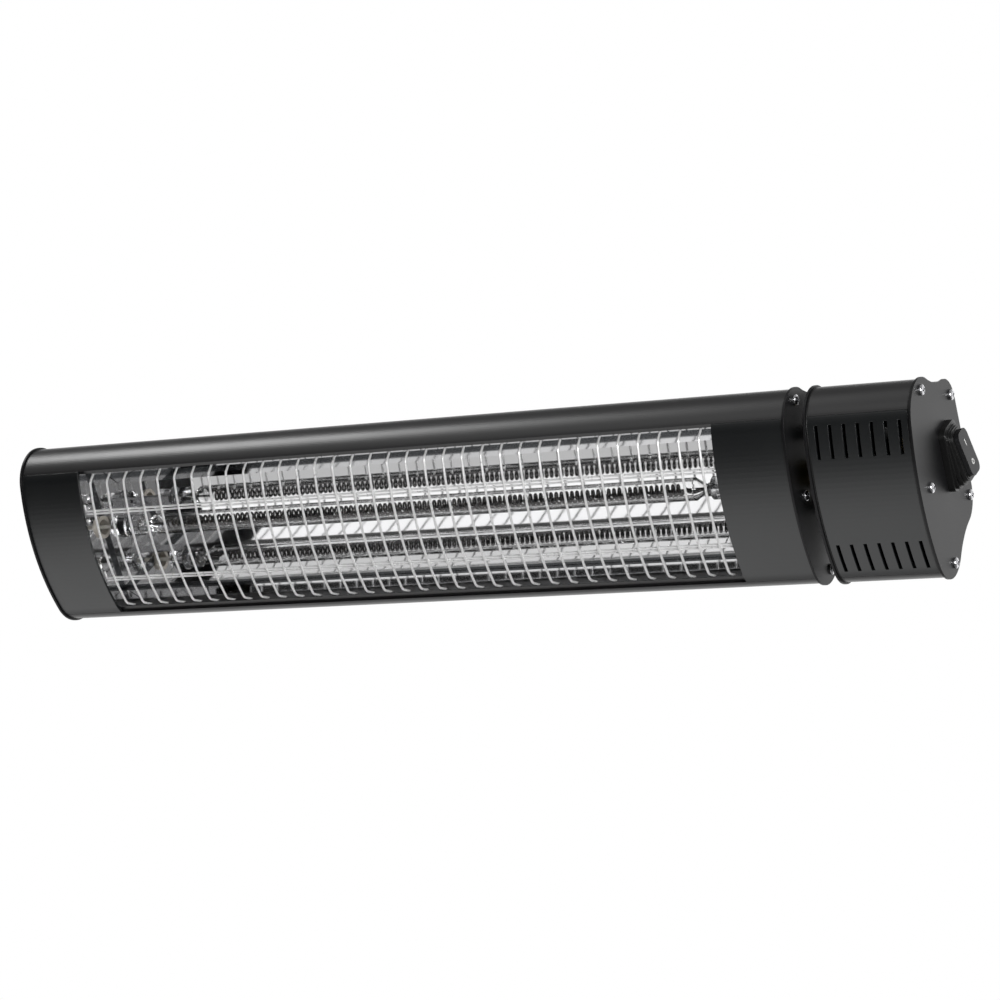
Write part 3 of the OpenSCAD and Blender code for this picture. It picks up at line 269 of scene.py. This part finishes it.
# %% Mix the bright metals
METAL_GRAIN_SCALE = 300
METAL_GRAIN_SHADE = 0.94
METAL_GRAIN_ROUGHNESS = 0.04
METAL_GRAIN_STRENGTH = 0.02
METAL_GRAIN_DEPTH = 0.2 * MM


def metal(name, colour, roughness, metallic=1.0):
    """Bare or plated metal with a fine grain."""
    material, wire = new_finish(name)
    grain = noise(wire, METAL_GRAIN_SCALE)
    return close_finish(
        material,
        wire,
        Base_Color=tint(wire, grain, scaled(colour, METAL_GRAIN_SHADE), colour),
        Metallic=metallic,
        Roughness=roughness + METAL_GRAIN_ROUGHNESS * grain,
        Normal=bump(wire, grain, METAL_GRAIN_STRENGTH, METAL_GRAIN_DEPTH),
    )


finishes["chrome_wire"] = metal("chrome_wire", (0.98, 0.98, 0.98), 0.26, metallic=0.36)
finishes["bright_screw"] = metal("bright_screw", (0.78, 0.78, 0.80), 0.16)
finishes["aluminium_rivet"] = metal("aluminium_rivet", (0.42, 0.42, 0.43), 0.35)
finishes["spring_steel"] = metal("spring_steel", (0.84, 0.84, 0.85), 0.08)
finishes["zinc_steel"] = metal("zinc_steel", (0.62, 0.62, 0.64), 0.32)
finishes["brass_part"] = metal("brass_part", (0.66, 0.50, 0.24), 0.25)
print("bright metals mixed, finishes now:", len(finishes))

# %% [markdown]
# ## The mirror sheet
# The trough is polished sheet. Rolling leaves faint lines along it, so its noise is stretched
# fiftyfold along the heater. The sheet is bent near its front edges, and the polish is dull
# there, with painted shade in a dark stripe along the bends. The stripe lies between two depths in
# front of the wall.

# %% Mix the mirror sheet
BEND_FRONT = -51 * MM
BEND_BACK = -43.5 * MM
BEND_SOFT = 0.8 * MM
# Painted shade: the dark colour that the sheet takes along its bends.
BEND_SHADE_COLOUR = (0.13, 0.135, 0.14)
BEND_ROUGHNESS = 0.2
MIRROR_COLOUR = (0.96, 0.96, 0.965)
MIRROR_ROUGHNESS = 0.02
ROLLED_SCALE = 160
ROLLED_STRETCH = (0.02, 1, 1)
ROLLED_ROUGHNESS = 0.04
ROLLED_STRENGTH = 0.03
ROLLED_DEPTH = 0.2 * MM


def mirror_sheet():
    """Rolled mirror sheet, dull along the two bends near its front edges, with painted shade there.
    """
    material, wire = new_finish("mirror_sheet")
    grain = noise(wire, ROLLED_SCALE, ROLLED_STRETCH)
    y = wire.node("SeparateXYZ", None, Vector=place(wire)).get("Y")
    behind_front = ramp(wire, y, BEND_FRONT, BEND_FRONT + BEND_SOFT)
    before_back = ramp(wire, y, BEND_BACK, BEND_BACK - BEND_SOFT)
    # The bends are dull, and their dark colour is painted shade.
    bend = behind_front * before_back
    return close_finish(
        material,
        wire,
        Base_Color=tint(wire, bend, MIRROR_COLOUR, BEND_SHADE_COLOUR),
        Metallic=1.0,
        Roughness=MIRROR_ROUGHNESS + ROLLED_ROUGHNESS * grain + BEND_ROUGHNESS * bend,
        Normal=bump(wire, grain, ROLLED_STRENGTH, ROLLED_DEPTH),
    )


finishes["mirror_sheet"] = mirror_sheet()
print("mirror sheet mixed, finishes now:", len(finishes))

# %% [markdown]
# ## Lamp finishes
# The lamp is a clear quartz tube with a dark wound wire inside. Quartz bends light less than
# window glass. The ends are drawn and pressed while hot, which leaves streaks along them.

# %% Mix the quartz
QUARTZ_IOR = 1.45
QUARTZ_ROUGHNESS = 0.02
STREAK_SCALE = 420
STREAK_STRETCH = (0.08, 1, 1)
STREAK_SHADE = (0.72, 0.73, 0.74)
STREAK_ROUGHNESS = (0.04, 0.10)
STREAK_STRENGTH = 0.6
STREAK_DEPTH = 0.6 * MM
CLEAR = (1, 1, 1)


def clear_quartz():
    """The straight part of the tube."""
    material, wire = new_finish("quartz")
    return close_finish(
        material,
        wire,
        Base_Color=(*CLEAR, 1),
        Roughness=QUARTZ_ROUGHNESS,
        IOR=QUARTZ_IOR,
        Transmission_Weight=1.0,
    )


def pressed_quartz():
    """The drawn and pressed ends of the lamp, where the glass is full of streaks along it."""
    material, wire = new_finish("pressed_quartz")
    streaks = noise(wire, STREAK_SCALE, STREAK_STRETCH, detail=3)
    smoothest, spread = STREAK_ROUGHNESS
    return close_finish(
        material,
        wire,
        Base_Color=tint(wire, streaks, STREAK_SHADE, CLEAR),
        Roughness=smoothest + spread * streaks,
        IOR=QUARTZ_IOR,
        Transmission_Weight=1.0,
        Normal=bump(wire, streaks, STREAK_STRENGTH, STREAK_DEPTH),
    )


finishes["quartz"] = clear_quartz()
finishes["pressed_quartz"] = pressed_quartz()
finishes["heating_wire"] = metal("heating_wire", (0.085, 0.080, 0.078), 0.45)
print("quartz and wire mixed, finishes now:", len(finishes))

# %% [markdown]
# ## Ceramic and braid
# The ceramic is chalky with small specks. The leads of the lamp run in a braided sleeve, whose
# weave is a band pattern that a distortion breaks up.

# %% Mix the ceramic and the braid
SPECK_SCALE = 700
SPECK_ROUGHNESS = 0.1
SPECK_STRENGTH = 0.2
SPECK_DEPTH = 0.2 * MM
WEAVE_SCALE = 420
WEAVE_DISTORTION = 4
WEAVE_ROUGHNESS = (0.8, 0.1)
WEAVE_STRENGTH = 0.5
WEAVE_DEPTH = 0.2 * MM


def chalky(name, colour, speck, roughness):
    """Ceramic with specks of a second colour."""
    material, wire = new_finish(name)
    specks = noise(wire, SPECK_SCALE, detail=4)
    return close_finish(
        material,
        wire,
        Base_Color=tint(wire, specks, speck, colour),
        Roughness=roughness + SPECK_ROUGHNESS * specks,
        Normal=bump(wire, specks, SPECK_STRENGTH, SPECK_DEPTH),
    )


def braided(name, colour, shade):
    """Woven sleeve with darker gaps between its strands."""
    material, wire = new_finish(name)
    bands = {"Scale": WEAVE_SCALE, "Distortion": WEAVE_DISTORTION}
    weave = wire.node("TexWave", {"wave_type": "BANDS"}, Vector=place(wire), **bands)
    roughest, spread = WEAVE_ROUGHNESS
    return close_finish(
        material,
        wire,
        Base_Color=tint(wire, weave, shade, colour),
        Roughness=roughest - spread * weave,
        Normal=bump(wire, weave, WEAVE_STRENGTH, WEAVE_DEPTH),
    )


finishes["ceramic"] = chalky("ceramic", (0.50, 0.47, 0.42), (0.36, 0.33, 0.29), 0.35)
finishes["lead_sleeve"] = braided("lead_sleeve", (0.78, 0.76, 0.70), (0.52, 0.50, 0.45))
print("ceramic and braid mixed, finishes now:", len(finishes))

# %% [markdown]
# ## Rubber and moulded plastic
# The switch boot is silicone rubber with a soft sheen, and its folds are rounded, so that they
# catch the light. The rocker and the gland are moulded in a tool with a fine sparked grain.

# %% Mix the rubber and the plastics
BLOTCH_SCALE = 60
BLOTCH_TONE = 0.15
BLOTCH_ROUGHNESS = 0.08
GRAIN_DEPTH = 0.1 * MM
SMOOTH_GRAIN = (1500, 0.1)
SPARKED_GRAIN = (2500, 0.25)
FOLD_ROUND = 0.7 * MM


def moulded(name, colour, roughness, grain, edge=0):
    """Rubber or plastic with a grain of this scale and strength, and edges rounded by edge."""
    material, wire = new_finish(name)
    grain_scale, grain_strength = grain
    edges = {"Normal": rounded(wire, edge)} if edge else {}
    slow = noise(wire, BLOTCH_SCALE)
    fine = noise(wire, grain_scale)
    shade, light = scaled(colour, 1 - BLOTCH_TONE), scaled(colour, 1 + BLOTCH_TONE)
    return close_finish(
        material,
        wire,
        Base_Color=tint(wire, slow, shade, light),
        Roughness=roughness + BLOTCH_ROUGHNESS * slow,
        Normal=bump(wire, fine, grain_strength, GRAIN_DEPTH, **edges),
    )


finishes["black_rubber"] = moulded(
    "black_rubber", (0.008, 0.008, 0.008), 0.28, SMOOTH_GRAIN, FOLD_ROUND
)
finishes["black_plastic"] = moulded("black_plastic", (0.008, 0.008, 0.009), 0.4, SPARKED_GRAIN)
finishes["white_plastic"] = moulded("white_plastic", (0.80, 0.80, 0.78), 0.42, SMOOTH_GRAIN)
finishes["blue_sleeve"] = moulded("blue_sleeve", (0.03, 0.08, 0.32), 0.4, SMOOTH_GRAIN)
print("all finishes:", len(finishes))

# %% [markdown]
# ## Dress the frame
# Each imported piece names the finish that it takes, so one loop dresses the whole heater. The
# two ends of the lamp are the exception: they take the streaked quartz.

# %% Dress every piece of the frame
GLASSY_ENDS = ("lamp_cap_left", "lamp_cap_right")
for part in frame["record"]["subparts"]:
    mesh = frame["nodes"][part["node"]].data
    slot = "pressed_quartz" if part["node"] in GLASSY_ENDS else part["material_slot"]
    mesh.materials.clear()
    mesh.materials.append(finishes[slot])

# %% [markdown]
# ## The heating coil
# The wire is wound close and even, and carries on straight into the pinched ends of the tube.
# A helix is one formula, so the coil is a list of points on it with a round bevel. It has the
# full number of turns, which is more than the solid in the frame carries.

# %% Wind the heating coil
TURNS = 104
STEPS = 20
WIRE_R = 0.78 * MM
COIL_HALF = 196 * MM
STRAIGHT_START = 4 * MM

low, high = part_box("heating_coil")
coil_r = (high.z - low.z) / 2 - WIRE_R
axis_y = (low.y + high.y) / 2


def helix_point(step):
    """The point of the winding after this many steps."""
    angle = math.tau * step / STEPS
    along = -COIL_HALF + 2 * COIL_HALF * step / (TURNS * STEPS)
    return Vector((along, axis_y + coil_r * math.cos(angle), coil_r * math.sin(angle)))


straight_x = COIL_HALF + STRAIGHT_START
coil_points = [Vector((low.x, axis_y, 0)), Vector((-straight_x, axis_y, 0))]
coil_points += [helix_point(step) for step in range(TURNS * STEPS + 1)]
coil_points += [Vector((straight_x, axis_y, 0)), Vector((high.x, axis_y, 0))]
print("points along the coil:", len(coil_points))

# %% [markdown]
# A curve through the points gets a round bevel as thick as the wire. The result rides with
# the casings and takes the place of the solid coil.

# %% Turn the points into a round wire
BEVEL_SIDES = 2


def round_wire(name, points, radius):
    """A curve through these points with a round section."""
    curve = bpy.data.curves.new(name, "CURVE")
    curve.dimensions = "3D"
    curve.bevel_depth = radius
    curve.bevel_resolution = BEVEL_SIDES
    curve.use_fill_caps = True
    spline = curve.splines.new("POLY")
    spline.points.add(len(points) - 1)
    for target, point in zip(spline.points, points):
        target.co = (*point, 1)
    made = bpy.data.objects.new(name, curve)
    bpy.context.collection.objects.link(made)
    return made


coil = round_wire("wound_wire", coil_points, WIRE_R)
coil.data.materials.append(finishes["heating_wire"])
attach(coil, "heater")
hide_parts("heating_coil")
print("coil turns:", TURNS, "pitch mm:", round(2 * COIL_HALF / TURNS / MM, 2))

# %% [markdown]
# ## The rubber boot
# The boot is glued to the casing at its base and grips the rocker at its rim, so it has to give
# as the rocker tips. A copy of the solid boot gets finer edges, because a long straight edge
# can't bend. The normals of the solid don't fit the finer faces, so they are left out, and only
# the edges that turn by more than a set angle stay sharp.

# %% Make the finer boot
FINE_EDGE = 1.6 * MM
FINER_TIMES = 3
SAME_PLACE = 0.001 * MM
SMOOTH_BELOW = math.radians(20)

solid_boot = frame["nodes"]["switch_boot"]
boot = bpy.data.objects.new("rubber_boot", solid_boot.data.copy())
boot.matrix_world = solid_boot.matrix_world
bpy.context.collection.objects.link(boot)

finer = bmesh.new()
finer.from_mesh(boot.data)
bmesh.ops.remove_doubles(finer, verts=finer.verts, dist=SAME_PLACE)
for _ in range(FINER_TIMES):
    long_edges = [edge for edge in finer.edges if edge.calc_length() > FINE_EDGE]
    bmesh.ops.subdivide_edges(finer, edges=long_edges, cuts=1)
    bmesh.ops.triangulate(finer, faces=finer.faces)
finer.to_mesh(boot.data)
finer.free()

old_normals = boot.data.attributes.get("custom_normal")
if old_normals:
    boot.data.attributes.remove(old_normals)
boot.data.shade_smooth()
boot.data.set_sharp_from_angle(angle=SMOOTH_BELOW)
print("boot faces:", len(boot.data.polygons))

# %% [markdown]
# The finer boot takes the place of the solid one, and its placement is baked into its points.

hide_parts("switch_boot")
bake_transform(boot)

# %% [markdown]
# ## The floor
# The heater hangs at its mounting height, so the floor is far below it and takes its shadow
# out of the picture. To the camera the floor is white paper. The mirror trough needs darker
# parts as well, so the floor mirrors painted grey in three places that the camera never sees:
# a grey patch in front on the right, a painted shadow of the heater in a strip below it, and
# painted shade on the part far off in front. Each range is where a ramp starts and ends, in
# metres along one axis.

# %% Plan where the floor mirrors grey
PATCH_LEFT = (-0.1, 0.3)
PATCH_BACK = (0.5, 0.2)
STRIP_FRONT = (-0.55, -0.25)
STRIP_BACK = (0.6, 0.4)
STRIP_LEFT = (-1.6, -1.2)
FAR_OFF = (-3.5, -7)
BELOW_SHADE = 0.75
FAR_SHADE = 0.6


def floor_shade(wire):
    """How much painted grey the floor mirrors at each place, from 0 to 1."""
    axes = wire.node("SeparateXYZ", None, Vector=place(wire))
    x, y = axes.get("X"), axes.get("Y")
    grey_patch = ramp(wire, x, *PATCH_LEFT) * ramp(wire, y, *PATCH_BACK)
    # The strip below is a painted shadow of the heater, and the far part is painted shade.
    below = ramp(wire, y, *STRIP_FRONT) * ramp(wire, y, *STRIP_BACK) * ramp(wire, x, *STRIP_LEFT)
    far = ramp(wire, y, *FAR_OFF)
    return 1 - (1 - grey_patch) * (1 - BELOW_SHADE * below) * (1 - FAR_SHADE * far)


print("deepest grey below the heater:", BELOW_SHADE, "and far off:", FAR_SHADE)

# %% [markdown]
# ## The paper
# Floor and backdrop are white paper. The camera, metal and glass see the paper's own white,
# and all other light meets a plain matt surface.

# %% Mix the paper
MATT_WHITE = (0.8, 0.8, 0.8, 1)
PURE_WHITE = (1, 1, 1, 1)
GREY_LEVEL = 0.16


def paper(name, shade=None):
    """White paper that mirrors grey where shade says so."""
    material, wire = new_finish(name)
    path = wire.node("LightPath")
    to_camera = path.get("Is_Camera_Ray")
    seen = to_camera + path.get("Is_Glossy_Ray") + path.get("Is_Transmission_Ray")
    plain = wire.node("BsdfDiffuse", None, Color=MATT_WHITE)
    own = wire.node("Emission", None, Color=PURE_WHITE, Strength=1.0)
    if shade:
        grey = wire.node("Emission", None, Color=PURE_WHITE, Strength=GREY_LEVEL)
        mirrored = shade(wire) * (1 - to_camera)
        own = wire.node("MixShader", None, Fac=mirrored, Shader=own, Shader_001=grey)
    mixed = wire.node("MixShader", None, Fac=seen, Shader=plain, Shader_001=own)
    wire.node("OutputMaterial", None, Surface=mixed)
    return material


papers = {"floor": paper("floor_paper", floor_shade), "backdrop": paper("backdrop_paper")}
print("papers:", len(papers))

# %% [markdown]
# The floor is one large sheet below the heater, and the backdrop is a low one that stands
# behind it. Both belong to the stage and not to the heater.

# %% Lay the floor and hang the backdrop
FLOOR_Z = -1.3
FLOOR_SIDE = 24
BACKDROP_Y = 2.2
BACKDROP_H = 1.7
UPRIGHT = math.radians(90)


def sheet_of_paper(name, width, height, turn, centre):
    """A flat sheet of paper, turned about the X axis."""
    mesh = bpy.data.meshes.new(name)
    w, h = width / 2, height / 2
    mesh.from_pydata([(-w, -h, 0), (w, -h, 0), (w, h, 0), (-w, h, 0)], [], [(0, 1, 2, 3)])
    mesh.materials.append(papers[name])
    made = bpy.data.objects.new(name, mesh)
    made.matrix_world = Matrix.Translation(centre) @ Matrix.Rotation(turn, 4, "X")
    bpy.context.collection.objects.link(made)


backdrop_middle = Vector((0, BACKDROP_Y, FLOOR_Z + BACKDROP_H / 2))
sheet_of_paper("floor", FLOOR_SIDE, FLOOR_SIDE, 0, Vector((0, 0, FLOOR_Z)))
sheet_of_paper("backdrop", FLOOR_SIDE, BACKDROP_H, UPRIGHT, backdrop_middle)
print("floor is", -FLOOR_Z, "m below the wall inserts")

# %% [markdown]
# ## Light
# A small soft lamp hangs high on the left, a little behind the heater, and draws the bright
# line along the casing. A larger one stands in front on the right and lights the switch end.

# %% Hang the lamps


def soft_lamp(name, centre, target, width, height, power):
    """A soft rectangular lamp that shines from its centre to a target."""
    lamp = bpy.data.lights.new(name, "AREA")
    lamp.shape = "RECTANGLE"
    lamp.size = width
    lamp.size_y = height
    lamp.energy = power
    made = bpy.data.objects.new(name, lamp)
    aim = (Vector(target) - Vector(centre)).to_track_quat("-Z", "Y")
    made.matrix_world = Matrix.Translation(centre) @ aim.to_matrix().to_4x4()
    bpy.context.collection.objects.link(made)


bead_lamp = {"centre": (-1.25, 0.42, 1.66), "target": (-0.2, -0.05, 0)}
right_lamp = {"centre": (1.9, -1.5, 0.9), "target": (0.2, -0.05, 0)}
soft_lamp("bead_lamp", **bead_lamp, width=0.7, height=0.7, power=10.5)
soft_lamp("right_lamp", **right_lamp, width=1.2, height=1.0, power=45)
print("lamps are aimed at the casing and at the switch end")

# %% [markdown]
# ## The room
# Metal and coatings show what stands round them, so the room has light cards in it. One is
# overhead and one is nearer the front, both on the left, and the back and one side are dim.
# The rest is almost dark. Each range is where a ramp starts and ends on a direction's axis.

# %% Paint the room
BACK_LEVEL = 0.18
CARD_LEVEL = 0.35
FRONT_CARD_LEVEL = 0.55
SIDE_LEVEL = 0.18
DARK_LEVEL = 0.02
BACK_FROM = (-0.1, 0.5)
CARDS_FROM_LEFT = (0.2, -0.2)
CARD_UP = (0.76, 0.87)
CARD_BACK = (0.62, 0.42)
FRONT_CARD_UP = (0.68, 0.75)
FRONT_CARD_BACK = (-0.24, -0.34)
FRONT_CARD_FRONT = (-0.64, -0.52)
SIDE_FROM = (0.1, 0.5)


def paint_room():
    """Gives the scene a world that is white to the camera and a room of cards to the rest."""
    world = bpy.data.worlds.new("room")
    world.use_nodes = True
    world.node_tree.nodes.clear()
    bpy.context.scene.world = world
    wire = Wire(world.node_tree)
    axes = wire.node("SeparateXYZ", None, Vector=wire.node("TexCoord").get("Generated"))
    x, y, up = axes.get("X"), axes.get("Y"), axes.get("Z")
    on_left = ramp(wire, x, *CARDS_FROM_LEFT)
    card = ramp(wire, up, *CARD_UP) * ramp(wire, y, *CARD_BACK) * on_left
    depth = ramp(wire, y, *FRONT_CARD_BACK) * ramp(wire, y, *FRONT_CARD_FRONT)
    front_card = ramp(wire, up, *FRONT_CARD_UP) * depth * on_left
    level = DARK_LEVEL + BACK_LEVEL * ramp(wire, y, *BACK_FROM) + CARD_LEVEL * card
    level = level + SIDE_LEVEL * ramp(wire, x, *SIDE_FROM) + FRONT_CARD_LEVEL * front_card
    to_camera = wire.node("LightPath").get("Is_Camera_Ray")
    strength = to_camera + (1 - to_camera) * level
    sky = wire.node("Background", None, Color=PURE_WHITE, Strength=strength)
    wire.node("OutputWorld", None, Surface=sky)


paint_room()
print("room painted, brightest card:", FRONT_CARD_LEVEL)
